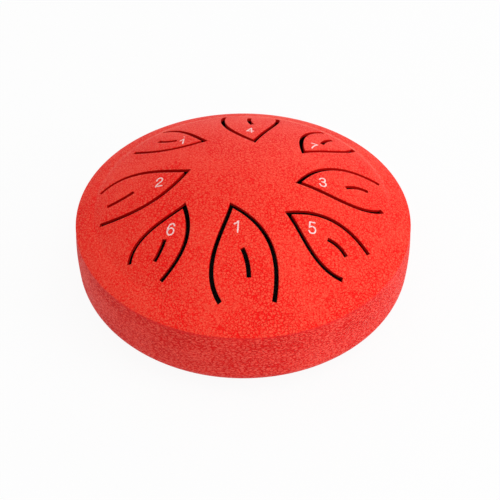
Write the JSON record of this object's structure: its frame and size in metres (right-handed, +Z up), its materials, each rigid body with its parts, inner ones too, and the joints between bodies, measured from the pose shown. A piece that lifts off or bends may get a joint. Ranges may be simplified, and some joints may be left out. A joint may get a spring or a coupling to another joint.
{
  "type": "tongue drum",
  "caption": "Small round steel tongue drum: shallow dome with pointed, slotted tongues that ring when struck, over a deep pan with a sound hole and rubber feet.",
  "frame": {"origin": "centre of the drum on the plane that the feet stand on", "axes": "+Z up out of the dome, -Y towards the player and the longest tongue, +X to the player's right"},
  "size_m": [0.1514, 0.1514, 0.0597],
  "materials": {
    "red_paint": "fine wrinkle powder coat, satin",
    "black_rubber": "matt moulded",
    "zinc_steel": "bright zinc plated"
  },
  "bodies": {
    "drum": {"top_shell": "red_paint", "bottom_shell": "red_paint", "foot_1": "black_rubber", "foot_2": "black_rubber", "foot_3": "black_rubber", "foot_4": "black_rubber", "foot_washer_1": "zinc_steel", "foot_washer_2": "zinc_steel", "foot_washer_3": "zinc_steel", "foot_washer_4": "zinc_steel", "foot_screw_1": "zinc_steel", "foot_screw_2": "zinc_steel", "foot_screw_3": "zinc_steel", "foot_screw_4": "zinc_steel"},
    "tongue_1": {"tongue_1": "red_paint"},
    "tongue_2": {"tongue_2": "red_paint"},
    "tongue_3": {"tongue_3": "red_paint"},
    "tongue_4": {"tongue_4": "red_paint"},
    "tongue_5": {"tongue_5": "red_paint"},
    "tongue_6": {"tongue_6": "red_paint"},
    "tongue_7": {"tongue_7": "red_paint"},
    "tongue_high_1": {"tongue_high_1": "red_paint"}
  },
  "joints": [
    {"name": "tongue_1_flex", "type": "hinge", "parent": "drum", "child": "tongue_1", "pos_m": [0.00152, -0.062, 0.04204], "axis": [0.9997, 0.0244, 0], "range_deg": [-1, 1], "stiffness_Nm_per_rad": 88},
    {"name": "tongue_2_flex", "type": "hinge", "parent": "drum", "child": "tongue_2", "pos_m": [-0.06358, -0.00398, 0.04095], "axis": [0.072, -0.9974, 0], "range_deg": [-1, 1], "stiffness_Nm_per_rad": 88.2},
    {"name": "tongue_3_flex", "type": "hinge", "parent": "drum", "child": "tongue_3", "pos_m": [0.0615, 0.00211, 0.04232], "axis": [0.014, 0.9999, 0], "range_deg": [-1, 1], "stiffness_Nm_per_rad": 84.2},
    {"name": "tongue_4_flex", "type": "hinge", "parent": "drum", "child": "tongue_4", "pos_m": [0.00387, 0.06252, 0.04167], "axis": [-0.991, 0.134, 0], "range_deg": [-1, 1], "stiffness_Nm_per_rad": 111.3},
    {"name": "tongue_5_flex", "type": "hinge", "parent": "drum", "child": "tongue_5", "pos_m": [0.04713, -0.04134, 0.04164], "axis": [0.6266, 0.7793, 0], "range_deg": [-1, 1], "stiffness_Nm_per_rad": 93.4},
    {"name": "tongue_6_flex", "type": "hinge", "parent": "drum", "child": "tongue_6", "pos_m": [-0.041, -0.04555, 0.04247], "axis": [0.7951, -0.6064, 0], "range_deg": [-1, 1], "stiffness_Nm_per_rad": 93.1},
    {"name": "tongue_7_flex", "type": "hinge", "parent": "drum", "child": "tongue_7", "pos_m": [0.04538, 0.04465, 0.04099], "axis": [-0.7399, 0.6727, 0], "range_deg": [-1, 1], "stiffness_Nm_per_rad": 96},
    {"name": "tongue_high_1_flex", "type": "hinge", "parent": "drum", "child": "tongue_high_1", "pos_m": [-0.04494, 0.04221, 0.04225], "axis": [-0.5459, -0.8379, 0], "range_deg": [-1, 1], "stiffness_Nm_per_rad": 117.7}
  ]
}
